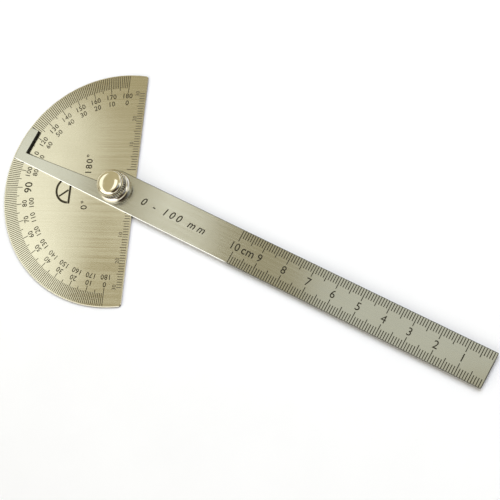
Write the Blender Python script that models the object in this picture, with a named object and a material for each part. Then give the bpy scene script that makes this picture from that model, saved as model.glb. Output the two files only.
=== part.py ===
"""Stainless steel 180 degree protractor with a swinging ruler arm and a knurled clamp nut.

Metres, +Z up. The origin lies on the pivot axis, level with the flat underside of the scale plate.
+X points out of the plate's straight edge and +Y runs along that edge, so the plate's 90 degree
mark points along -X. The ruler arm lies on the plate and turns about the pivot stud. The nut
screws down on the stud and clamps the arm through a thick domed washer.
"""
import math

import bmesh
import bpy
from mathutils import Vector

MM = 0.001

# Scale plate: a little more than half a disc, cut straight beyond the 0-180 line.
PLATE_RADIUS = 45.0 * MM
PLATE_THICKNESS = 0.9 * MM
DATUM_OFFSET = 7.3 * MM          # from the 0-180 line to the straight edge
PLATE_CORNER_RADIUS = 1.2 * MM

# Ruler arm: one strip with a notch that leaves a reading edge and a hooked end.
ARM_WIDTH = 13.4 * MM
ARM_THICKNESS = 1.0 * MM
ARM_REACH = 153.0 * MM           # pivot axis to the zero end of the ruler
HOOK_RADIUS = 43.8 * MM          # outer arc of the hooked end
HOOK_INNER = 39.8 * MM           # pivot axis to the inner side of the hook
READING_SLANT = math.radians(4.3)
ARM_CORNER = 0.5 * MM            # length that the rounding takes off each side of a corner
ARM_TURN = math.radians(-23.8)   # arm direction from +X, which reads 109.5 degrees

# Pivot hardware.
STUD_HEAD_RADIUS = 4.0 * MM
STUD_HEAD_HEIGHT = 0.7 * MM
STUD_SHOULDER_RADIUS = 2.5 * MM
STUD_THREAD_RADIUS = 1.95 * MM
STUD_TOP = 7.6 * MM
STUD_TIP = 0.35 * MM
SPACER_RADIUS = 5.5 * MM
SPACER_THICKNESS = 0.15 * MM
WASHER_RADIUS = 6.1 * MM
WASHER_TOP_RADIUS = 4.9 * MM
WASHER_RIM = 0.5 * MM
WASHER_THICKNESS = 2.3 * MM

# Clamp nut: knurled side, domed cap, blind bore.
NUT_RADIUS = 5.5 * MM
NUT_SIDE_HEIGHT = 3.2 * MM
NUT_CHAMFER = 0.35 * MM
KNURL_TEETH = 40
KNURL_DEPTH = 0.28 * MM
NUT_DOME_RADIUS = 4.75 * MM
NUT_DOME_HEIGHT = 1.2 * MM
NUT_FLAT_RADIUS = 3.1 * MM
NUT_BORE_DEPTH = 3.6 * MM

# Clearances and edge finish.
BORE_GAP = 0.3 * MM              # radial play of every hole on the stud
STACK_GAP = 0.05 * MM            # between flat faces that lie on one another
EDGE_BREAK = 0.2 * MM            # softened edges of the two sheet parts
CUTTER_MARGIN = 1.0 * MM

# Levels of the stack, from the underside of the plate upwards.
SPACER_Z = PLATE_THICKNESS + STACK_GAP
ARM_Z = SPACER_Z + SPACER_THICKNESS + 2 * STACK_GAP
ARM_TOP_Z = ARM_Z + ARM_THICKNESS
WASHER_Z = ARM_TOP_Z + STACK_GAP
NUT_Z = WASHER_Z + WASHER_THICKNESS + STACK_GAP

# Facets.
RIM_STEP = math.radians(1.5)
CORNER_STEP = math.radians(15.0)
ROUNDING_STEPS = 4
TURNED_SEGMENTS = 60
WASHER_DOME_STEPS = 5
NUT_DOME_STEPS = 4
SMOOTH_ANGLE = math.radians(30.0)
SHARP_EDGE = math.radians(50.0)
KNURL_CUT = (0.0, 1.0, 1.0)      # depth of the three facets of one tooth, as a share


def clear_scene():
    for obj in list(bpy.data.objects):
        bpy.data.objects.remove(obj, do_unlink=True)


def metal(name, colour, roughness):
    material = bpy.data.materials.new(name)
    material.use_nodes = True
    shader = material.node_tree.nodes["Principled BSDF"]
    shader.inputs["Base Color"].default_value = (*colour, 1.0)
    shader.inputs["Roughness"].default_value = roughness
    shader.inputs["Metallic"].default_value = 1.0
    return material


def add_object(name, mesh, material=None):
    obj = bpy.data.objects.new(name, mesh)
    bpy.context.scene.collection.objects.link(obj)
    if material is not None:
        mesh.materials.append(material)
    return obj


def finished_mesh(name, bm):
    """Turn the faces outwards and hand the mesh over."""
    bmesh.ops.recalc_face_normals(bm, faces=bm.faces)
    mesh = bpy.data.meshes.new(name)
    bm.to_mesh(mesh)
    bm.free()
    return mesh


def arc(centre, radius, start, end, step):
    """Points on an arc from start to end, both ends included."""
    count = max(1, math.ceil(abs(end - start) / step))
    angles = [start + (end - start) * i / count for i in range(count + 1)]
    return [(centre[0] + radius * math.cos(a), centre[1] + radius * math.sin(a)) for a in angles]


def rounded_corner(before, corner, after):
    """Points that round off a corner between the points before and after it."""
    corner = Vector(corner)
    start = corner + (Vector(before) - corner).normalized() * ARM_CORNER
    end = corner + (Vector(after) - corner).normalized() * ARM_CORNER
    points = []
    for i in range(ROUNDING_STEPS + 1):
        share = i / ROUNDING_STEPS
        points.append(tuple(start.lerp(corner, share).lerp(corner.lerp(end, share), share)))
    return points


def sheet(name, outline, bottom, thickness):
    """A flat sheet of the given outline, extruded upwards."""
    bm = bmesh.new()
    face = bm.faces.new([bm.verts.new((x, y, bottom)) for x, y in outline])
    grown = bmesh.ops.extrude_face_region(bm, geom=[face])["geom"]
    raised = [item for item in grown if isinstance(item, bmesh.types.BMVert)]
    bmesh.ops.translate(bm, verts=raised, vec=(0.0, 0.0, thickness))
    return finished_mesh(name, bm)


def turned(name, profile, segments=TURNED_SEGMENTS, cuts=(0.0,)):
    """A body turned about Z from a run of (radius, height) or (radius, height, knurl) points.

    The run starts and ends on the axis, or else closes on itself. The knurl value of a point is
    the depth that cuts scales, facet after facet around the ring.
    """
    bm = bmesh.new()
    rings = []
    for radius, height, *knurl in profile:
        depth = knurl[0] if knurl else 0.0
        ring = []
        for i in range(segments if radius > 0.0 else 1):
            angle = math.tau * i / segments
            r = radius - depth * cuts[i % len(cuts)]
            ring.append(bm.verts.new((r * math.cos(angle), r * math.sin(angle), height)))
        rings.append(ring)
    pairs = list(zip(rings, rings[1:]))
    if len(rings[0]) > 1:
        pairs.append((rings[-1], rings[0]))
    for first, second in pairs:
        for i in range(segments):
            j = (i + 1) % segments
            corners = [first[i % len(first)], first[j % len(first)],
                       second[j % len(second)], second[i % len(second)]]
            bm.faces.new(dict.fromkeys(corners))
    mesh = finished_mesh(name, bm)
    mesh.shade_smooth()
    mesh.set_sharp_from_angle(angle=SMOOTH_ANGLE)
    return mesh


def cut_hole(obj, name, profile):
    """Take a turned cutter out of a body."""
    cutter = add_object(name, turned(name, profile))
    cutter.hide_render = True
    cutter.display_type = "WIRE"
    boolean = obj.modifiers.new("Pivot hole", "BOOLEAN")
    boolean.operation = "DIFFERENCE"
    boolean.solver = "EXACT"
    boolean.object = cutter


def break_edges(obj):
    bevel = obj.modifiers.new("Softened edges", "BEVEL")
    bevel.width = EDGE_BREAK
    bevel.segments = 1
    bevel.limit_method = "ANGLE"
    bevel.angle_limit = SHARP_EDGE


def plate_outline():
    """Straight edge at +X, round rim at -X, and a small round corner at each end."""
    inner = PLATE_RADIUS - PLATE_CORNER_RADIUS
    corner_x = DATUM_OFFSET - PLATE_CORNER_RADIUS
    corner_y = math.sqrt(inner ** 2 - corner_x ** 2)
    turn = math.atan2(corner_y, corner_x)
    points = arc((corner_x, corner_y), PLATE_CORNER_RADIUS, 0.0, turn, CORNER_STEP)
    points += arc((0.0, 0.0), PLATE_RADIUS, turn, math.tau - turn, RIM_STEP)[1:-1]
    points += arc((corner_x, -corner_y), PLATE_CORNER_RADIUS, -turn, 0.0, CORNER_STEP)
    return points


def arm_outline():
    """The ruler along +X, the round boss at the pivot, the slanted reading edge and the hook."""
    half = ARM_WIDTH / 2
    hook_turn = math.asin(half / HOOK_RADIUS)
    hook = arc((0.0, 0.0), HOOK_RADIUS, math.pi - hook_turn, math.pi + hook_turn, RIM_STEP)
    low_end = (ARM_REACH, -half)
    high_end = (ARM_REACH, half)
    hook_tip = (-HOOK_INNER, half)
    points = rounded_corner(hook[-1], low_end, high_end)
    points += rounded_corner(low_end, high_end, (0.0, half))
    points += arc((0.0, 0.0), half, math.pi / 2, math.pi + READING_SLANT, CORNER_STEP / 2)
    points.append((-HOOK_INNER, -HOOK_INNER * math.tan(READING_SLANT)))
    points.append(hook_tip)
    points += rounded_corner(hook_tip, hook[0], hook[1])
    points += hook[1:-1]
    points += rounded_corner(hook[-2], hook[-1], low_end)
    return points


def make_scale_plate():
    material = metal("plate_steel", (0.62, 0.58, 0.46), 0.35)
    mesh = sheet("scale_plate", plate_outline(), 0.0, PLATE_THICKNESS)
    plate = add_object("scale_plate", mesh, material)
    break_edges(plate)
    countersink = STUD_HEAD_RADIUS + BORE_GAP
    bore = STUD_SHOULDER_RADIUS + BORE_GAP
    top = PLATE_THICKNESS + CUTTER_MARGIN
    cut_hole(plate, "plate_hole_cutter", [
        (0.0, -CUTTER_MARGIN), (countersink, -CUTTER_MARGIN), (countersink, 0.0),
        (bore, STUD_HEAD_HEIGHT), (bore, top), (0.0, top)])


def make_ruler_arm():
    """The strip is drawn along +X about its own pivot hole and turned on its hinge axis."""
    material = metal("arm_steel", (0.55, 0.56, 0.50), 0.3)
    mesh = sheet("ruler_arm", arm_outline(), ARM_Z, ARM_THICKNESS)
    arm = add_object("ruler_arm", mesh, material)
    arm.rotation_euler = (0.0, 0.0, ARM_TURN)
    break_edges(arm)
    bore = STUD_SHOULDER_RADIUS + BORE_GAP
    bottom = ARM_Z - CUTTER_MARGIN
    top = ARM_TOP_Z + CUTTER_MARGIN
    cut_hole(arm, "arm_hole_cutter", [(0.0, bottom), (bore, bottom), (bore, top), (0.0, top)])


def make_pivot_stud():
    """A countersunk head flush with the underside, a plain shoulder and the thread's outline."""
    shoulder_top = ARM_TOP_Z - STACK_GAP
    profile = [
        (0.0, 0.0),
        (STUD_HEAD_RADIUS, 0.0),
        (STUD_SHOULDER_RADIUS, STUD_HEAD_HEIGHT),
        (STUD_SHOULDER_RADIUS, shoulder_top),
        (STUD_THREAD_RADIUS, shoulder_top),
        (STUD_THREAD_RADIUS, STUD_TOP - STUD_TIP),
        (STUD_THREAD_RADIUS - STUD_TIP, STUD_TOP),
        (0.0, STUD_TOP),
    ]
    material = metal("stud_steel", (0.60, 0.59, 0.55), 0.3)
    add_object("pivot_stud", turned("pivot_stud", profile), material)


def make_spacer_washer():
    """The thin ring that holds the arm clear of the etched scale."""
    bore = STUD_SHOULDER_RADIUS + BORE_GAP
    top = SPACER_Z + SPACER_THICKNESS
    profile = [(bore, SPACER_Z), (SPACER_RADIUS, SPACER_Z), (SPACER_RADIUS, top), (bore, top)]
    material = metal("spacer_steel", (0.56, 0.55, 0.50), 0.4)
    add_object("spacer_washer", turned("spacer_washer", profile), material)


def make_clamp_washer():
    """A thick washer with a short upright rim and a domed shoulder."""
    bore = STUD_THREAD_RADIUS + BORE_GAP
    dome_width = WASHER_RADIUS - WASHER_TOP_RADIUS
    dome_height = WASHER_THICKNESS - WASHER_RIM
    profile = [(bore, 0.0), (WASHER_RADIUS, 0.0)]
    for i in range(WASHER_DOME_STEPS + 1):
        angle = math.pi / 2 * i / WASHER_DOME_STEPS
        radius = WASHER_TOP_RADIUS + dome_width * math.cos(angle)
        profile.append((radius, WASHER_RIM + dome_height * math.sin(angle)))
    profile.append((bore, WASHER_THICKNESS))
    material = metal("washer_chrome", (0.80, 0.78, 0.72), 0.12)
    washer = add_object("clamp_washer", turned("clamp_washer", profile), material)
    washer.location = (0.0, 0.0, WASHER_Z)


def make_knurled_nut():
    """The run starts at the roof of the blind bore, goes out below and up the knurled side."""
    bore = STUD_THREAD_RADIUS + BORE_GAP
    root = NUT_RADIUS - KNURL_DEPTH
    top = NUT_SIDE_HEIGHT
    profile = [
        (0.0, NUT_BORE_DEPTH),
        (bore, NUT_BORE_DEPTH),
        (bore, 0.0),
        (root - NUT_CHAMFER / 2, 0.0),
        (root, NUT_CHAMFER / 2),
        (NUT_RADIUS, NUT_CHAMFER, KNURL_DEPTH),
        (NUT_RADIUS, top - NUT_CHAMFER, KNURL_DEPTH),
        (root, top - NUT_CHAMFER / 2),
        (NUT_DOME_RADIUS, top),
    ]
    for i in range(1, NUT_DOME_STEPS + 1):
        angle = math.pi / 2 * i / NUT_DOME_STEPS
        radius = NUT_FLAT_RADIUS + (NUT_DOME_RADIUS - NUT_FLAT_RADIUS) * math.cos(angle)
        profile.append((radius, top + NUT_DOME_HEIGHT * math.sin(angle)))
    profile.append((0.0, top + NUT_DOME_HEIGHT))
    mesh = turned("knurled_nut", profile, KNURL_TEETH * len(KNURL_CUT), KNURL_CUT)
    nut = add_object("knurled_nut", mesh, metal("nut_chrome", (0.82, 0.80, 0.74), 0.1))
    nut.location = (0.0, 0.0, NUT_Z)


clear_scene()
make_scale_plate()
make_spacer_washer()
make_pivot_stud()
make_ruler_arm()
make_clamp_washer()
make_knurled_nut()
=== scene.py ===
"""Looks of the steel protractor: brushed sheet parts with etched scales and polished pivot hardware.

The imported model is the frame. Every place here comes from its boxes or from the layout of the
scales, in millimetres, and everything is made at the rest pose.
"""

import math

import bmesh
import bpy
import numpy as np
from mathutils import Matrix, Quaternion, Vector


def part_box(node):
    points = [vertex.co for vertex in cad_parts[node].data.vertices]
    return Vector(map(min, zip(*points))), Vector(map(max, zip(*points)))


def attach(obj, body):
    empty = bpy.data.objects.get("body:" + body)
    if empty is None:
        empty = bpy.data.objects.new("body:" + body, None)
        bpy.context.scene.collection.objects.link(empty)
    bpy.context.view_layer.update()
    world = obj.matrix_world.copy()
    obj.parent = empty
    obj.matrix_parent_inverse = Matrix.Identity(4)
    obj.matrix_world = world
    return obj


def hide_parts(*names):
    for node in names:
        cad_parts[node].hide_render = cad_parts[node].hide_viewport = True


MM = 0.001

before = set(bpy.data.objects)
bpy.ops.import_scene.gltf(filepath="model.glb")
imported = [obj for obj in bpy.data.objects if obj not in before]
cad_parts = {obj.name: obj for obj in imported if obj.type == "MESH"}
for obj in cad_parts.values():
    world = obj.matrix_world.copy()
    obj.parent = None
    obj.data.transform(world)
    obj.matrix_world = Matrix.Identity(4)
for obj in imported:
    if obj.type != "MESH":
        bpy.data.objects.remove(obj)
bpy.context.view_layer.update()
plate_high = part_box("scale_plate")[1]
arm_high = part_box("ruler_arm")[1]
stud_low, stud_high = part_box("pivot_stud")
spacer_low, spacer_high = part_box("spacer_washer")
washer_low, washer_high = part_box("clamp_washer")
nut_low, nut_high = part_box("knurled_nut")

# Etched marks: thin solids that stand a hair above the steel.
MARK_LIFT = 0.001 * MM
MARK_HEIGHT = 0.010 * MM
FONT_WEIGHT = 0.011              # how far each letter's outline is pushed out, in letter sizes
FONT_RESOLUTION = 3
FONT_MERGE = 1e-5                # in letter sizes
LETTER_SPACING = 1.05

# Degree scale, radii from the pivot.
TICK_OUTER = 44.55 * MM
TICK_INNER = {1: 39.8 * MM, 5: 38.8 * MM, 10: 37.8 * MM}
DEGREE_TICK_WIDTH = 0.25 * MM
OUTER_ROW = 36.6 * MM
INNER_ROW = 33.8 * MM
ROW_HEIGHT = 1.95 * MM
MIDDLE_ROW = 35.4 * MM
MIDDLE_HEIGHT = 3.1 * MM

# Millimetre scales of the plate's straight edge, one on each side of the arm. Only the zero mark
# is a multiple of 40, so it takes the longest tick.
EDGE_START = 7.5 * MM
EDGE_LENGTH = 30
EDGE_MARGIN = 0.55 * MM
EDGE_TICK = {1: 2.1 * MM, 5: 2.6 * MM, 10: 2.1 * MM, 40: 3.6 * MM}
EDGE_TICK_WIDTH = 0.30 * MM
EDGE_LABEL_X = 3.75 * MM
EDGE_LABEL_HEIGHT = 1.5 * MM

# Plain symbol and range of the plate.
SYMBOL_CENTRE = (-18.9 * MM, -0.8 * MM)
SYMBOL_RADIUS = 5.3 * MM
SYMBOL_STROKE = 0.85 * MM
SYMBOL_STEPS = 24
SYMBOL_GAP = 0.1 * MM            # between the half ring and the bars of its base and ray
RAY_ANGLE = math.radians(215.0)
RAY_STROKE = 0.8 * SYMBOL_STROKE
RANGE_X = -12.1 * MM
RANGE_LABELS = (("0\u00b0", -6.6 * MM), ("180\u00b0", 9.6 * MM))
RANGE_HEIGHT = 2.7 * MM
RANGE_SPACING = 1.25

# Millimetre scales of the ruler arm, along both long edges.
RULER_LENGTH = 100
RULER_MARGIN = 0.22 * MM
RULER_TICK = {1: 2.85 * MM, 5: 3.85 * MM, 10: 4.35 * MM}
RULER_TICK_WIDTH = 0.32 * MM
RULER_LABEL_HEIGHT = 2.9 * MM
RULER_FONT_WEIGHT = 0.005
UNIT_LABEL_GAP = 5.1 * MM
UNIT_LABEL_HEIGHT = 2.1 * MM
ARM_LEGEND_X = 26.0 * MM
ARM_LEGEND_HEIGHT = 2.9 * MM
ARM_LEGEND_SPACING = 1.5
ARM_LEGEND_SLANT = 0.25
END_CORNER_REACH = 0.5 * MM      # points this close to the farthest one make the two end corners

UPRIGHT = math.pi / 2            # direction of a label's top: along +Y
SIDEWAYS = math.pi               # along -X


# ---------------------------------------------------------------- meshes

def add_mesh(name, bm, material, smooth_angle=None):
    bmesh.ops.recalc_face_normals(bm, faces=bm.faces)
    mesh = bpy.data.meshes.new(name)
    bm.to_mesh(mesh)
    bm.free()
    if smooth_angle is not None:
        mesh.shade_smooth()
        mesh.set_sharp_from_angle(angle=smooth_angle)
    mesh.materials.append(material)
    obj = bpy.data.objects.new(name, mesh)
    bpy.context.scene.collection.objects.link(obj)
    return obj


def add_prism(bm, corners, bottom, top):
    """A closed prism over a convex outline that runs anticlockwise."""
    low = [bm.verts.new((x, y, bottom)) for x, y in corners]
    high = [bm.verts.new((x, y, top)) for x, y in corners]
    bm.faces.new(reversed(low))
    bm.faces.new(high)
    count = len(corners)
    for i in range(count):
        j = (i + 1) % count
        bm.faces.new((low[i], low[j], high[j], high[i]))


def add_bar(bm, start, end, width, surface):
    """A straight etched bar between two points of a plane, on a surface at that height."""
    start = Vector(start)
    end = Vector(end)
    side = (end - start).normalized().orthogonal() * width / 2
    corners = [start - side, end - side, end + side, start + side]
    if (end - start).cross(side) < 0.0:
        corners.reverse()
    add_prism(bm, corners, surface + MARK_LIFT, surface + MARK_LIFT + MARK_HEIGHT)


def glyph_bmesh(text, height, spacing, slant, weight):
    """Flat closed letters of Blender's own font, centred on the origin, as tall as asked."""
    curve = bpy.data.curves.new("glyph", "FONT")
    curve.body = text
    curve.resolution_u = FONT_RESOLUTION
    curve.space_character = spacing
    curve.shear = slant
    curve.offset = 0.0 if "4" in text else weight    # an offset would close the eye of the 4
    curve.fill_mode = "BOTH"
    curve.extrude = 0.5
    source = bpy.data.objects.new("glyph", curve)
    bpy.context.scene.collection.objects.link(source)
    bpy.context.view_layer.update()
    mesh = bpy.data.meshes.new_from_object(source)
    bpy.data.objects.remove(source, do_unlink=True)
    bpy.data.curves.remove(curve)
    bm = bmesh.new()
    bm.from_mesh(mesh)
    bpy.data.meshes.remove(mesh)
    bmesh.ops.remove_doubles(bm, verts=bm.verts, dist=FONT_MERGE)
    low = Vector([min(v.co[i] for v in bm.verts) for i in range(3)])
    high = Vector([max(v.co[i] for v in bm.verts) for i in range(3)])
    scale = height / (high.y - low.y)
    bmesh.ops.translate(bm, verts=bm.verts, vec=-(low + high) / 2)
    bmesh.ops.scale(bm, verts=bm.verts, vec=(scale, scale, MARK_HEIGHT / (high.z - low.z)))
    return bm


def add_label(bm, text, height, place, up_angle, surface,
              spacing=LETTER_SPACING, slant=0.0, weight=FONT_WEIGHT):
    """Write text with its middle at a point and its top towards an angle."""
    glyph = glyph_bmesh(text, height, spacing, slant, weight)
    middle = surface + MARK_LIFT + MARK_HEIGHT / 2
    turn = Matrix.Rotation(up_angle - UPRIGHT, 4, "Z")
    glyph.transform(Matrix.Translation((place[0], place[1], middle)) @ turn)
    mesh = bpy.data.meshes.new("label")
    glyph.to_mesh(mesh)
    glyph.free()
    bm.from_mesh(mesh)
    bpy.data.meshes.remove(mesh)


def polar(radius, angle, centre=(0.0, 0.0)):
    return (centre[0] + radius * math.cos(angle), centre[1] + radius * math.sin(angle))


def tick_length(lengths, number):
    """The longest of the tick lengths whose step divides this number."""
    return lengths[max(step for step in lengths if number % step == 0)]


# ---------------------------------------------------------------- etched scales

def degree_angle(degrees):
    """Direction of a reading of the outer row: 0 at -Y, 90 at -X, 180 at +Y."""
    return math.radians(-90.0 - degrees)


def make_degree_ticks(material):
    bm = bmesh.new()
    for degrees in range(181):
        angle = degree_angle(degrees)
        inner = tick_length(TICK_INNER, degrees)
        add_bar(bm, polar(inner, angle), polar(TICK_OUTER, angle), DEGREE_TICK_WIDTH, plate_high.z)
    return add_mesh("degree_ticks", bm, material)


def make_degree_numbers(material):
    bm = bmesh.new()
    for degrees in range(0, 181, 10):
        angle = degree_angle(degrees)
        if degrees == 90:
            add_label(bm, "90", MIDDLE_HEIGHT, polar(MIDDLE_ROW, angle), angle, plate_high.z)
            continue
        for radius, value in ((OUTER_ROW, degrees), (INNER_ROW, 180 - degrees)):
            add_label(bm, str(value), ROW_HEIGHT, polar(radius, angle), angle, plate_high.z)
    return add_mesh("degree_numbers", bm, material)


def make_edge_scales(material):
    """Two 30 mm scales along the straight edge, counted away from the arm."""
    bm = bmesh.new()
    outer = plate_high.x - EDGE_MARGIN
    for side in (-1, 1):
        for count in range(EDGE_LENGTH + 1):
            y = side * (EDGE_START + count * MM)
            inner = outer - tick_length(EDGE_TICK, count)
            add_bar(bm, (inner, y), (outer, y), EDGE_TICK_WIDTH, plate_high.z)
            if count and count % 10 == 0:
                place = (EDGE_LABEL_X, y)
                add_label(bm, str(count), EDGE_LABEL_HEIGHT, place, SIDEWAYS, plate_high.z)
    return add_mesh("edge_scales", bm, material)


def add_half_ring(bm, centre, inner, outer, bottom, top):
    """A closed half ring that opens towards +X."""
    rim = []
    for i in range(SYMBOL_STEPS + 1):
        angle = UPRIGHT + math.pi * i / SYMBOL_STEPS
        rim.append([polar(radius, angle, centre) for radius in (inner, outer)])
    low, high = [[[bm.verts.new((x, y, z)) for x, y in pair] for pair in rim] for z in (bottom, top)]
    for i in range(SYMBOL_STEPS):
        for a, b in ((low[i], low[i + 1]), (high[i + 1], high[i])):
            bm.faces.new((a[0], a[1], b[1], b[0]))
        for side in (0, 1):
            bm.faces.new((low[i][side], low[i + 1][side], high[i + 1][side], high[i][side]))
    for i in (0, SYMBOL_STEPS):
        bm.faces.new((low[i][0], low[i][1], high[i][1], high[i][0]))


def make_plate_legend(material):
    """A small protractor symbol, opening towards the straight edge, and the range of the scale."""
    bm = bmesh.new()
    cx, cy = SYMBOL_CENTRE
    level = plate_high.z + MARK_LIFT
    inner = SYMBOL_RADIUS - SYMBOL_STROKE
    add_half_ring(bm, SYMBOL_CENTRE, inner, SYMBOL_RADIUS, level, level + MARK_HEIGHT)
    base_x = cx + SYMBOL_STROKE / 2 + SYMBOL_GAP
    add_bar(bm, (base_x, cy - SYMBOL_RADIUS), (base_x, cy + SYMBOL_RADIUS), SYMBOL_STROKE, plate_high.z)
    ray_end = polar(inner - SYMBOL_GAP, RAY_ANGLE, SYMBOL_CENTRE)
    add_bar(bm, (cx - SYMBOL_GAP, cy), ray_end, RAY_STROKE, plate_high.z)
    for text, y in RANGE_LABELS:
        add_label(bm, text, RANGE_HEIGHT, (RANGE_X, y), SIDEWAYS, plate_high.z, RANGE_SPACING)
    return add_mesh("plate_legend", bm, material)


def arm_points():
    """The arm's CAD points, seen from above."""
    return np.array([v.co.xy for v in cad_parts["ruler_arm"].data.vertices])


def arm_direction():
    """The ruler's turn about the pivot: midway between the two corners of its zero end."""
    points = arm_points()
    reach = np.hypot(points[:, 0], points[:, 1])
    corners = points[reach > reach.max() - END_CORNER_REACH]
    angles = np.arctan2(corners[:, 1], corners[:, 0])
    return (angles.min() + angles.max()) / 2


def arm_extent(turn):
    """Zero end and half width of the ruler in its own frame."""
    points = arm_points()
    along = points @ np.array([math.cos(turn), math.sin(turn)])
    across = points @ np.array([-math.sin(turn), math.cos(turn)])
    return along.max(), across.max()


def make_ruler_scales(material, turn):
    """Millimetre ticks on both edges and centimetre numbers between them, drawn along +X."""
    bm = bmesh.new()
    zero, half = arm_extent(turn)
    top = arm_high.z
    for count in range(1, RULER_LENGTH + 1):
        x = zero - count * MM
        length = tick_length(RULER_TICK, count)
        edge = half - RULER_MARGIN
        for side in (-1, 1):
            add_bar(bm, (x, side * edge), (x, side * (edge - length)), RULER_TICK_WIDTH, top)
        if count % 10 == 0:
            add_label(bm, str(count // 10), RULER_LABEL_HEIGHT, (x, 0.0), UPRIGHT, top,
                      weight=RULER_FONT_WEIGHT)
    unit_x = zero - RULER_LENGTH * MM + UNIT_LABEL_GAP
    unit_y = (UNIT_LABEL_HEIGHT - RULER_LABEL_HEIGHT) / 2
    add_label(bm, "cm", UNIT_LABEL_HEIGHT, (unit_x, unit_y), UPRIGHT, top)
    bm.transform(Matrix.Rotation(turn, 4, "Z"))
    return add_mesh("ruler_scales", bm, material)


def make_arm_legend(material, turn):
    """The ruler's range in slanted letters between the nut and the scales."""
    bm = bmesh.new()
    add_label(bm, "0 - 100 mm", ARM_LEGEND_HEIGHT, (ARM_LEGEND_X, 0.0), UPRIGHT, arm_high.z,
              ARM_LEGEND_SPACING, ARM_LEGEND_SLANT)
    bm.transform(Matrix.Rotation(turn, 4, "Z"))
    return add_mesh("arm_legend", bm, material)


# ---------------------------------------------------------------- turned hardware

SMOOTH_ANGLE = math.radians(35.0)
TURNED_SEGMENTS = 128
SHOULDER_STEPS = 14              # facets up a rounded shoulder or dome


def revolve(name, profile, segments, material, radius_at=None):
    """A body turned about Z from (radius, height, share) points, from axis to axis or closed.

    radius_at(radius, height, share, angle) may move a point in or out, as a knurl or thread does.
    """
    bm = bmesh.new()
    rings = []
    for radius, height, share in profile:
        ring = []
        for i in range(segments if radius > 0.0 else 1):
            angle = math.tau * i / segments
            r = radius_at(radius, height, share, angle) if radius_at and radius > 0.0 else radius
            ring.append(bm.verts.new((r * math.cos(angle), r * math.sin(angle), height)))
        rings.append(ring)
    pairs = list(zip(rings, rings[1:]))
    if len(rings[0]) > 1:
        pairs.append((rings[-1], rings[0]))
    for first, second in pairs:
        for i in range(segments):
            j = (i + 1) % segments
            corners = [first[i % len(first)], first[j % len(first)],
                       second[j % len(second)], second[i % len(second)]]
            bm.faces.new(dict.fromkeys(corners))    # a triangle where one ring is a point
    return add_mesh(name, bm, material, SMOOTH_ANGLE)


def rounded(centre, radii, start, end, steps):
    """Plain profile points on an elliptic arc, angles in degrees, 0 outwards and 90 up."""
    points = []
    for i in range(steps + 1):
        angle = math.radians(start + (end - start) * i / steps)
        points.append((centre[0] + radii[0] * math.cos(angle),
                       centre[1] + radii[1] * math.sin(angle), 0.0))
    return points


KNURL_TEETH = 40
KNURL_DEPTH = 0.27 * MM
KNURL_ROUNDING = 0.7             # below 1, grooves are wider than crests
FACETS_PER_TOOTH = 8
NUT_BORE = 2.2 * MM
NUT_BORE_DEPTH = 3.6 * MM
NUT_SIDE = 3.2 * MM
NUT_NECK = 4.66 * MM
NUT_GROOVE = 0.25 * MM
NUT_STEP = 0.15 * MM             # width and height of the small steps about the groove and the flat
NUT_FLAT = 3.05 * MM
NUT_LIP = 0.25 * MM              # height of each broken end
NUT_LIP_STEPS = 5
END_DROP = 0.03 * MM             # fall of the knurl's crests at their ends
END_RUN = 0.3 * NUT_LIP          # and the length that it takes
HAIR = 0.02 * MM                 # least step between neighbouring points
LIP_START, DOME_END = 15, 88     # degrees


def knurl(radius, height, share, angle):
    """Rounded ridges: the full radius on a crest, less the knurl's depth in a groove."""
    wave = 0.5 - 0.5 * math.cos(KNURL_TEETH * angle)
    return radius - share * KNURL_DEPTH * wave ** KNURL_ROUNDING


def make_nut(material):
    """Blind bore, knurled side with broken ends, a step, and a domed cap with a flat top."""
    low, high = nut_low.z, nut_high.z
    crest = nut_high.x
    root = crest - KNURL_DEPTH
    side_top = low + NUT_SIDE
    groove = side_top - NUT_GROOVE
    dome_foot = side_top + NUT_STEP
    profile = [
        (0.0, low + NUT_BORE_DEPTH, 0.0),
        (NUT_BORE, low + NUT_BORE_DEPTH, 0.0),
        (NUT_BORE, low + NUT_LIP, 0.0),
        (NUT_BORE + NUT_LIP, low, 0.0),
        (root - NUT_LIP, low, 0.0),
        (root - HAIR, low + NUT_LIP, 0.0),
        (crest - END_DROP, low + 2 * NUT_LIP, 1.0),
        (crest, low + 2 * NUT_LIP + END_RUN, 1.0),
        (crest, side_top - 2 * NUT_LIP - END_RUN, 1.0),
        (crest - END_DROP, side_top - 2 * NUT_LIP, 1.0),
        (root - HAIR, side_top - NUT_LIP, 0.0),
    ]
    profile += rounded((root - NUT_LIP, side_top - NUT_LIP), (NUT_LIP - END_DROP, NUT_LIP),
                       LIP_START, 90, NUT_LIP_STEPS)
    profile += [
        (NUT_NECK + NUT_STEP, side_top - 2 * HAIR, 0.0),
        (NUT_NECK + NUT_STEP - 2.5 * HAIR, groove, 0.0),
        (NUT_NECK - HAIR, groove, 0.0),
    ]
    profile += rounded((NUT_FLAT, dome_foot), (NUT_NECK - NUT_FLAT, high - 2 * HAIR - dome_foot),
                       0, DOME_END, SHOULDER_STEPS)
    profile += [
        (NUT_FLAT - NUT_STEP, high - HAIR, 0.0),
        (NUT_FLAT / 2, high - HAIR / 4, 0.0),
        (0.0, high, 0.0),
    ]
    return revolve("nut_body", profile, KNURL_TEETH * FACETS_PER_TOOTH, material, knurl)


WASHER_BORE = 2.25 * MM
WASHER_SHOULDER = 1.3 * MM
WASHER_RIM = 0.45 * MM
WASHER_LIP = 0.15 * MM
WASHER_LIP_STEPS = 4


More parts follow.
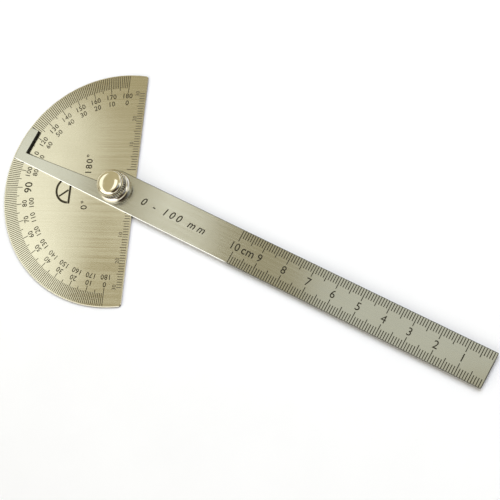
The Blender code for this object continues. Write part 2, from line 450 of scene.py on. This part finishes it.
def make_washer(material):
    """Flat below, with a short upright rim and a rounded shoulder up to a flat top."""
    low, high = washer_low.z, washer_high.z
    radius = washer_high.x
    profile = [(WASHER_BORE, low, 0.0)]
    profile += rounded((radius - WASHER_LIP, low + WASHER_LIP), (WASHER_LIP, WASHER_LIP),
                       -90, 0, WASHER_LIP_STEPS)
    profile += rounded((radius - WASHER_SHOULDER, low + WASHER_RIM),
                       (WASHER_SHOULDER, high - low - WASHER_RIM), 0, 90, SHOULDER_STEPS)
    profile.append((WASHER_BORE + WASHER_LIP, high, 0.0))
    profile.append((WASHER_BORE, high - WASHER_LIP, 0.0))
    return revolve("washer_body", profile, TURNED_SEGMENTS, material)


THREAD_PITCH = 0.7 * MM
THREAD_DEPTH = 0.40 * MM
THREAD_FLANK = 2.6               # steepness of the V
THREAD_FLAT = 0.15               # how much of the V its flat crest takes
THREAD_SEGMENTS = 64


def thread(radius, height, share, angle):
    """A right-hand V thread with a small flat on its crest."""
    phase = (height / THREAD_PITCH - angle / math.tau) % 1.0
    cut = min(1.0, max(0.0, THREAD_FLANK * abs(phase - 0.5) - THREAD_FLAT))
    return radius - share * THREAD_DEPTH * cut


STUD_SHOULDER = 2.5 * MM
STUD_MAJOR = 1.95 * MM
STUD_HEAD = 0.7 * MM
STUD_BREAK = 0.05 * MM
RUN_OUT = 0.35 * MM
STEPS_PER_TURN = 14


def make_stud(material):
    """Countersunk head, plain shoulder, and a thread that runs out at both ends."""
    low, top = stud_low.z, stud_high.z
    shoulder_top = arm_high.z - STUD_BREAK
    profile = [
        (0.0, low, 0.0),
        (stud_high.x - STUD_BREAK, low, 0.0),
        (stud_high.x, low + STUD_BREAK, 0.0),
        (STUD_SHOULDER, low + STUD_HEAD, 0.0),
        (STUD_SHOULDER, shoulder_top - STUD_BREAK, 0.0),
        (STUD_SHOULDER - STUD_BREAK, shoulder_top, 0.0),
        (STUD_MAJOR - THREAD_DEPTH / 2, shoulder_top, 0.0),
    ]
    step = THREAD_PITCH / STEPS_PER_TURN
    for i in range(1, int((top - RUN_OUT - shoulder_top) / step) + 1):
        height = shoulder_top + i * step
        share = min(1.0, (height - shoulder_top) / RUN_OUT, (top - height) / RUN_OUT)
        profile.append((STUD_MAJOR, height, share))
    profile.append((STUD_MAJOR - THREAD_DEPTH - STUD_BREAK, top, 0.0))
    profile.append((0.0, top, 0.0))
    return revolve("stud_body", profile, THREAD_SEGMENTS, material, thread)


SPACER_BORE = 2.8 * MM
SPACER_RIM_STEPS = 6


def make_spacer(material):
    """A thin shim with rounded outer and inner rims."""
    rim = (spacer_high.z - spacer_low.z) / 2
    middle = spacer_low.z + rim
    profile = rounded((spacer_high.x - rim, middle), (rim, rim), -90, 90, SPACER_RIM_STEPS)
    profile += rounded((SPACER_BORE + rim, middle), (rim, rim), 90, 270, SPACER_RIM_STEPS)
    return revolve("spacer_ring", profile, TURNED_SEGMENTS, material)


# ---------------------------------------------------------------- materials

# Places of a Mix node's colour sockets.
COLOUR_A, COLOUR_B, COLOUR_OUT = 6, 7, 2

NOISE_MIDDLE = (0.35, 0.65)      # the range that most of a noise lies in

# Painted light on the sheets' cut edges: painted shade on the plate's rim and most of the arm's edges,
# a painted highlight on the arm's lower edge; and painted shade in the knurl's grooves.
EDGE_PAINTED_SHADE = (0.10, 0.10, 0.085, 1.0)
EDGE_PAINTED_HIGHLIGHT = (1.0, 1.0, 0.97, 1.0)
ARC_PAINTED_SHADE = (0.16, 0.15, 0.13, 1.0)
STRAIGHT_PAINTED_SHADE = (0.55, 0.52, 0.50, 1.0)
KNURL_PAINTED_SHADE = (0.10, 0.085, 0.065, 1.0)


class Nodes:
    """Short calls for building one material's nodes."""

    def __init__(self, name):
        self.material = bpy.data.materials.new(name)
        self.material.use_nodes = True
        self.tree = self.material.node_tree
        self.shader = self.tree.nodes["Principled BSDF"]
        coordinates = self.add("ShaderNodeTexCoord")
        self.place = coordinates.outputs["Object"]
        self.normal = coordinates.outputs["Normal"]

    def add(self, kind, **settings):
        node = self.tree.nodes.new(kind)
        for key, value in settings.items():
            setattr(node, key, value)
        return node

    def link(self, source, target):
        self.tree.links.new(source, target)

    def put(self, socket, value):
        if isinstance(value, bpy.types.NodeSocket):
            self.link(value, socket)
        else:
            socket.default_value = value

    def noise(self, grain, turn=0.0):
        """Noise from (cells per millimetre along X, Y and Z, detail, roughness), turned about Z."""
        stretch, detail, roughness = grain
        scaled = self.add("ShaderNodeVectorMath", operation="MULTIPLY")
        scaled.inputs[1].default_value = [s / MM for s in stretch]
        self.link(self.turned(self.place, turn), scaled.inputs[0])
        node = self.add("ShaderNodeTexNoise", noise_dimensions="3D")
        node.inputs["Scale"].default_value = 1.0
        node.inputs["Detail"].default_value = detail
        node.inputs["Roughness"].default_value = roughness
        self.link(scaled.outputs["Vector"], node.inputs["Vector"])
        return node.outputs["Fac"]

    def axis(self, vector, index):
        """One component of a vector."""
        node = self.add("ShaderNodeSeparateXYZ")
        self.link(vector, node.inputs[0])
        return node.outputs[index]

    def turned(self, vector, turn):
        """A vector of the piece, seen from axes turned about Z."""
        node = self.add("ShaderNodeMapping", vector_type="POINT")
        node.inputs["Rotation"].default_value = (0.0, 0.0, -turn)
        self.link(vector, node.inputs["Vector"])
        return node.outputs["Vector"]

    def radius(self):
        """Distance from the pivot axis."""
        flat = self.add("ShaderNodeVectorMath", operation="MULTIPLY")
        flat.inputs[1].default_value = (1.0, 1.0, 0.0)
        self.link(self.place, flat.inputs[0])
        length = self.add("ShaderNodeVectorMath", operation="LENGTH")
        self.link(flat.outputs["Vector"], length.inputs[0])
        return length.outputs["Value"]

    def spread(self, value, low, high, start=NOISE_MIDDLE[0], end=NOISE_MIDDLE[1]):
        """Map the range from start to end, by default a noise's middle, to low to high."""
        node = self.add("ShaderNodeMapRange")
        node.inputs["From Min"].default_value = start
        node.inputs["From Max"].default_value = end
        node.inputs["To Min"].default_value = low
        node.inputs["To Max"].default_value = high
        self.link(value, node.inputs["Value"])
        return node.outputs["Result"]

    def mix(self, factor, first, second):
        node = self.add("ShaderNodeMix", data_type="RGBA")
        self.put(node.inputs["Factor"], factor)
        self.put(node.inputs[COLOUR_A], first)
        self.put(node.inputs[COLOUR_B], second)
        return node.outputs[COLOUR_OUT]

    def math(self, operation, first, second):
        node = self.add("ShaderNodeMath", operation=operation)
        self.put(node.inputs[0], first)
        self.put(node.inputs[1], second)
        return node.outputs[0]

    def bump(self, height, distance, strength, normal=None):
        node = self.add("ShaderNodeBump")
        node.inputs["Strength"].default_value = strength
        node.inputs["Distance"].default_value = distance
        self.link(height, node.inputs["Height"])
        if normal is not None:
            self.link(normal, node.inputs["Normal"])
        return node.outputs["Normal"]


# Where the painted light of a cut edge begins, as the upward share of a face's normal: below the first
# value the face is all painted edge, above the second it is none. The plate keeps part of its softened
# rim bright.
PLATE_RIM = (0.5, 0.7)
ARM_RIM = (0.75, 0.95)
STRAIGHT_SIDE = (0.8, 0.95)      # X of a normal that faces out of the plate's straight side
LOWER_SIDE = (-0.3, -0.1)        # Y, in the arm's own frame, of a normal on its lower side
SCALE_FADE = 2.0 * MM            # length over which the painted highlight on the arm's lower edge ends before the scales


def plate_edge(n):
    """Share and tone of painted shade on the plate's cut edge: dark on the arc, lighter grey on the
    straight side.
    """
    share = n.spread(n.axis(n.normal, 2), 1.0, 0.0, *PLATE_RIM)
    straight = n.spread(n.axis(n.normal, 0), 0.0, 1.0, *STRAIGHT_SIDE)
    return share, n.mix(straight, ARC_PAINTED_SHADE, STRAIGHT_PAINTED_SHADE)


def arm_edge(n):
    """Share and tone of painted light on the arm's cut edge: a painted highlight on the lower side up
    to the scales, painted shade elsewhere.
    """
    share = n.spread(n.axis(n.normal, 2), 1.0, 0.0, *ARM_RIM)
    lower = n.spread(n.axis(n.turned(n.normal, arm_turn), 1), 1.0, 0.0, *LOWER_SIDE)
    start = arm_extent(arm_turn)[0] - RULER_LENGTH * MM
    along = n.axis(n.turned(n.place, arm_turn), 0)
    plain = n.spread(along, 1.0, 0.0, start - SCALE_FADE, start)
    return share, n.mix(n.math("MULTIPLY", lower, plain), EDGE_PAINTED_SHADE, EDGE_PAINTED_HIGHLIGHT)


# Brushed sheet. A grain is its cells per millimetre along X, Y and Z, its detail and its roughness,
# and the brushing runs along X.
FINE_STREAKS = ((0.04, 7.0, 7.0), 2.0, 0.6)
COARSE_STREAKS = ((0.02, 1.4, 1.4), 2.0, 0.5)
HANDLING_CLOUDS = ((0.05, 0.05, 0.05), 3.0, 0.5)
FINE_SHARE = 0.5                 # of the fine streaks in the colour and the gloss
FINE_RELIEF = 0.004 * MM
COARSE_RELIEF = 0.003 * MM
COARSE_STRENGTH = 0.7            # of the coarse relief against the fine one
WORN_TONE = 0.94
WORN_SHARE = 0.4
STREAK_GLOSS = 0.04
CLOUD_GLOSS = 0.02


def brushed_steel(name, light, dark, turn, roughness, relief, painted_edge=None):
    """Satin sheet: long fine streaks in colour, gloss and relief, over faint handling marks.

    An optional function of the nodes may give the share and the tone of painted shade and highlight on
    the sheet's cut edge.
    """
    n = Nodes(name)
    n.shader.inputs["Metallic"].default_value = 1.0
    fine = n.noise(FINE_STREAKS, turn)
    coarse = n.noise(COARSE_STREAKS, turn)
    cloud = n.noise(HANDLING_CLOUDS, turn)
    streak = n.math("ADD", n.math("MULTIPLY", fine, FINE_SHARE),
                    n.math("MULTIPLY", coarse, 1.0 - FINE_SHARE))
    worn = (*[WORN_TONE * c for c in light[:3]], 1.0)
    tint = n.mix(n.spread(streak, 0.0, 1.0), dark, light)
    tint = n.mix(n.spread(cloud, 0.0, WORN_SHARE), tint, worn)
    # Painted shade and highlight on the cut edge, mixed into the colour.
    if painted_edge is not None:
        share, tone = painted_edge(n)
        tint = n.mix(share, tint, tone)
    n.link(tint, n.shader.inputs["Base Color"])
    gloss = n.math("ADD", n.spread(streak, -STREAK_GLOSS, STREAK_GLOSS),
                   n.spread(cloud, roughness - CLOUD_GLOSS, roughness + CLOUD_GLOSS))
    n.link(gloss, n.shader.inputs["Roughness"])
    grain = n.bump(fine, FINE_RELIEF, relief)
    n.link(n.bump(coarse, COARSE_RELIEF, relief * COARSE_STRENGTH, grain), n.shader.inputs["Normal"])
    return n.material


# Polished plating.
SMEARS = ((0.35, 0.35, 0.35), 4.0, 0.6)
SPECKS = ((6.0, 6.0, 6.0), 2.0, 0.5)
SPECK_RELIEF = 0.002 * MM
SPECK_STRENGTH = 0.3
SPECK_GLOSS = (-0.01, 0.02)
SMEAR_GLOSS = (0.6, 1.4)         # shares of the roughness
# Fade of the painted shade in the knurl's grooves, outwards and upwards.
KNURL_SHADE_FADE_OUT = 0.1 * MM
KNURL_SHADE_FADE_UP = 0.05 * MM


def polished_nickel(name, light, dark, roughness, painted_shade_zone=None):
    """Bright plating over turned metal: smears, specks and a slight tint.

    An optional radius and height may be given: below both of them, the grooves get painted shade.
    """
    n = Nodes(name)
    n.shader.inputs["Metallic"].default_value = 1.0
    smear = n.noise(SMEARS)
    speck = n.noise(SPECKS)
    tint = n.mix(n.spread(smear, 0.0, 1.0), dark, light)
    # Painted shade in the grooves, inside the radius and below the height.
    if painted_shade_zone is not None:
        inside = n.spread(n.radius(), 1.0, 0.0, painted_shade_zone[0] - KNURL_SHADE_FADE_OUT, painted_shade_zone[0])
        below = n.spread(n.axis(n.place, 2), 1.0, 0.0, painted_shade_zone[1] - KNURL_SHADE_FADE_UP, painted_shade_zone[1])
        tint = n.mix(n.math("MULTIPLY", inside, below), tint, KNURL_PAINTED_SHADE)
    n.link(tint, n.shader.inputs["Base Color"])
    gloss = n.math("ADD", n.spread(smear, *[roughness * share for share in SMEAR_GLOSS]),
                   n.spread(speck, *SPECK_GLOSS))
    n.link(gloss, n.shader.inputs["Roughness"])
    n.link(n.bump(speck, SPECK_RELIEF, SPECK_STRENGTH), n.shader.inputs["Normal"])
    return n.material


# Bottom of an etched line.
ETCH_GRAIN = ((3.0, 3.0, 3.0), 3.0, 0.6)
ETCH_RELIEF = 0.01 * MM
ETCH_STRENGTH = 0.4
ETCH_SPECULAR = 0.15
ETCH_ROUGHNESS = (0.6, 0.8)


def etched_fill(name, light, dark):
    """Dark, matt bottom of an etched line, a little uneven."""
    n = Nodes(name)
    n.shader.inputs["Specular IOR Level"].default_value = ETCH_SPECULAR
    grain = n.noise(ETCH_GRAIN)
    n.link(n.mix(n.spread(grain, 0.0, 1.0), dark, light), n.shader.inputs["Base Color"])
    n.link(n.spread(grain, *ETCH_ROUGHNESS), n.shader.inputs["Roughness"])
    n.link(n.bump(grain, ETCH_RELIEF, ETCH_STRENGTH), n.shader.inputs["Normal"])
    return n.material


# ---------------------------------------------------------------- studio

FLOOR_HALF_SIZE = 3.0
FLOOR_DROP = 0.05 * MM           # keeps the paper off the plate's underside
FLOOR_ROUGHNESS = 0.9
PAPER_CLOUDS = ((0.02, 0.02, 0.02), 4.0, 0.6)
PAPER_DARK = (0.93, 0.93, 0.93, 1.0)
PAPER_LIGHT = (0.95, 0.95, 0.95, 1.0)


def make_floor():
    n = Nodes("floor_paper")
    n.shader.inputs["Roughness"].default_value = FLOOR_ROUGHNESS
    cloud = n.noise(PAPER_CLOUDS)
    n.link(n.mix(n.spread(cloud, 0.0, 1.0), PAPER_DARK, PAPER_LIGHT), n.shader.inputs["Base Color"])
    bm = bmesh.new()
    bmesh.ops.create_grid(bm, x_segments=1, y_segments=1, size=FLOOR_HALF_SIZE)
    floor = add_mesh("floor", bm, n.material)
    floor.location.z = -FLOOR_DROP


ROOM_TONE = (0.47, 0.42, 0.27, 1.0)

# Soft patches of the room: azimuth and height of the middle, full and outer half angle, all in
# degrees, and colour.
ROOM_PATCHES = [
    (238.0, 18.0, 36.0, 46.0, (1.50, 1.48, 1.42, 1.0)),
    (6.0, 28.0, 13.0, 22.0, (1.30, 1.28, 1.20, 1.0)),
    (46.0, 26.0, 12.0, 24.0, (0.95, 0.93, 0.86, 1.0)),
    (-45.0, 50.0, 28.0, 38.0, (0.05, 0.035, 0.03, 1.0)),
    (30.0, 4.0, 14.0, 30.0, (0.22, 0.20, 0.17, 1.0)),
]


def direction_of(azimuth, height):
    """Unit vector towards an azimuth from +X and a height over the horizon, in degrees."""
    level = math.cos(math.radians(height))
    return Vector((level * math.cos(math.radians(azimuth)), level * math.sin(math.radians(azimuth)),
                   math.sin(math.radians(height))))


def make_world():
    """A warm, dim ceiling with bright and dark patches around it."""
    world = bpy.data.worlds.new("studio")
    bpy.context.scene.world = world
    world.use_nodes = True
    tree = world.node_tree
    direction = tree.nodes.new("ShaderNodeTexCoord").outputs["Generated"]
    colour = None
    for azimuth, height, full, outer, tone in ROOM_PATCHES:
        toward = tree.nodes.new("ShaderNodeVectorMath")
        toward.operation = "DOT_PRODUCT"
        toward.inputs[1].default_value = direction_of(azimuth, height)
        tree.links.new(direction, toward.inputs[0])
        share = tree.nodes.new("ShaderNodeMapRange")
        share.interpolation_type = "SMOOTHSTEP"
        share.inputs["From Min"].default_value = math.cos(math.radians(outer))
        share.inputs["From Max"].default_value = math.cos(math.radians(full))
        tree.links.new(toward.outputs["Value"], share.inputs["Value"])
        blend = tree.nodes.new("ShaderNodeMix")
        blend.data_type = "RGBA"
        blend.clamp_result = False
        tree.links.new(share.outputs["Result"], blend.inputs["Factor"])
        blend.inputs[COLOUR_B].default_value = tone
        if colour is None:
            blend.inputs[COLOUR_A].default_value = ROOM_TONE
        else:
            tree.links.new(colour, blend.inputs[COLOUR_A])
        colour = blend.outputs[COLOUR_OUT]
    tree.links.new(colour, tree.nodes["Background"].inputs["Color"])


# Soft lights: name, place, point that it faces, width and length, power, colour, turn in degrees
# about its own axis. The first four are seen as reflections in the sheets.
PANELS = [
    ("left_panel", (-0.168, 0.018, 0.20), (-0.168, 0.018, 0.0),
     (0.130, 0.196), 0.0575, (0.93, 1.0, 1.03), -5.0),
    ("corner_panel", (-0.124, 0.005, 0.19), (-0.124, 0.005, 0.0),
     (0.046, 0.052), 0.0021, (0.93, 1.0, 0.98), 0.0),
    ("middle_panel", (-0.045, 0.043, 0.20), (-0.045, 0.043, 0.0),
     (0.036, 0.050), 0.0049, (0.96, 1.0, 1.0), 0.0),
    ("right_panel", (0.100, -0.003, 0.15), (0.100, -0.003, 0.0),
     (0.122, 0.076), 0.0085, (0.96, 1.13, 1.32), 0.0),
    ("key_light", (0.30, 0.37, 0.88), (0.03, 0.0, 0.0),
     (0.80, 0.80), 7.2, (0.92, 0.98, 1.14), 0.0),
]
UNREFLECTED = "key_light"        # it would leave hard white spots on the knurl


def make_lights():
    for name, place, aim, size, power, colour, spin in PANELS:
        data = bpy.data.lights.new(name, "AREA")
        data.shape = "RECTANGLE"
        data.size, data.size_y = size
        data.energy = power
        data.color = colour
        lamp = bpy.data.objects.new(name, data)
        bpy.context.scene.collection.objects.link(lamp)
        lamp.location = place
        lamp.rotation_mode = "QUATERNION"
        facing = (Vector(aim) - Vector(place)).to_track_quat("-Z", "Y")
        lamp.rotation_quaternion = facing @ Quaternion((0.0, 0.0, 1.0), math.radians(spin))
        lamp.visible_glossy = name != UNREFLECTED


CAMERA_AIM = Vector((53.24, -21.94, 0.0)) * MM
CAMERA_DISTANCE = 489.95 * MM
CAMERA_AZIMUTH = -42.61
CAMERA_HEIGHT = 68.36
CAMERA_ROLL = math.radians(-43.83)
CAMERA_LENS = 99.19
SENSOR_WIDTH = 36.0
CLIP_START, CLIP_END = 0.01, 20.0


def make_camera():
    """The camera stands right of and in front of the plate, well above it, and is rolled."""
    back = direction_of(CAMERA_AZIMUTH, CAMERA_HEIGHT)
    level = (-back).cross(Vector((0.0, 0.0, 1.0))).normalized()
    upright = level.cross(-back)
    right = level * math.cos(CAMERA_ROLL) + upright * math.sin(CAMERA_ROLL)
    up = right.cross(-back)
    data = bpy.data.cameras.new("camera")
    data.lens = CAMERA_LENS
    data.sensor_width = SENSOR_WIDTH
    data.clip_start = CLIP_START
    data.clip_end = CLIP_END
    camera = bpy.data.objects.new("camera", data)
    bpy.context.scene.collection.objects.link(camera)
    axes = Matrix((right, up, back)).transposed()
    camera.matrix_world = Matrix.Translation(CAMERA_AIM + back * CAMERA_DISTANCE) @ axes.to_4x4()
    bpy.context.scene.camera = camera


# ---------------------------------------------------------------- assembly

arm_turn = arm_direction()

PLATE_GLOSS, PLATE_RELIEF = 0.20, 0.6
ARM_GLOSS, ARM_RELIEF = 0.20, 0.5
SHIM_GLOSS, SHIM_RELIEF = 0.35, 0.5
NICKEL_GLOSS = 0.06
STUD_GLOSS = 0.25
# Painted shade in the knurl's grooves, inside the middle of the teeth and below the side's top.
KNURL_SHADE_ZONE = (nut_high.x - KNURL_DEPTH / 2, nut_low.z + NUT_SIDE - HAIR)

plate_steel = brushed_steel("plate_steel", (0.80, 0.77, 0.64, 1.0), (0.71, 0.67, 0.54, 1.0),
                            0.0, PLATE_GLOSS, PLATE_RELIEF, plate_edge)
arm_steel = brushed_steel("arm_steel", (0.64, 0.64, 0.58, 1.0), (0.58, 0.58, 0.53, 1.0),
                          arm_turn, ARM_GLOSS, ARM_RELIEF, arm_edge)
shim_steel = brushed_steel("shim_steel", (0.60, 0.59, 0.54, 1.0), (0.50, 0.49, 0.45, 1.0),
                           0.0, SHIM_GLOSS, SHIM_RELIEF)
nut_nickel = polished_nickel("nut_nickel", (0.97, 0.92, 0.77, 1.0), (0.91, 0.86, 0.71, 1.0),
                             NICKEL_GLOSS, KNURL_SHADE_ZONE)
washer_nickel = polished_nickel("washer_nickel", (0.90, 0.87, 0.80, 1.0), (0.83, 0.80, 0.73, 1.0),
                                NICKEL_GLOSS)
stud_metal = polished_nickel("stud_metal", (0.70, 0.69, 0.64, 1.0), (0.60, 0.59, 0.55, 1.0),
                             STUD_GLOSS)
plate_ink = etched_fill("plate_ink", (0.050, 0.042, 0.022, 1.0), (0.025, 0.020, 0.010, 1.0))
edge_ink = etched_fill("edge_ink", (0.150, 0.130, 0.080, 1.0), (0.100, 0.085, 0.052, 1.0))
arm_ink = etched_fill("arm_ink", (0.045, 0.040, 0.026, 1.0), (0.022, 0.020, 0.012, 1.0))

for node, material in (("scale_plate", plate_steel), ("ruler_arm", arm_steel)):
    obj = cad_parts[node]
    obj.data.materials.clear()
    obj.data.materials.append(material)

PIECES = [
    (make_degree_ticks(plate_ink), "head", "scale_plate", ()),
    (make_degree_numbers(plate_ink), "head", "scale_plate", ()),
    (make_edge_scales(edge_ink), "head", "scale_plate", ()),
    (make_plate_legend(plate_ink), "head", "scale_plate", ()),
    (make_ruler_scales(arm_ink, arm_turn), "arm", "ruler_arm", ()),
    (make_arm_legend(arm_ink, arm_turn), "arm", "ruler_arm", ()),
    (make_stud(stud_metal), "head", "pivot_stud", ("pivot_stud",)),
    (make_spacer(shim_steel), "head", "spacer_washer", ("spacer_washer",)),
    (make_washer(washer_nickel), "washer", "clamp_washer", ("clamp_washer",)),
    (make_nut(nut_nickel), "nut", "knurled_nut", ("knurled_nut",)),
]
for piece, body, slot, replaced in PIECES:
    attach(piece, body)
    if replaced:
        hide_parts(*replaced)

make_floor()
make_world()
make_lights()
make_camera()
bpy.context.scene.view_settings.view_transform = "Standard"
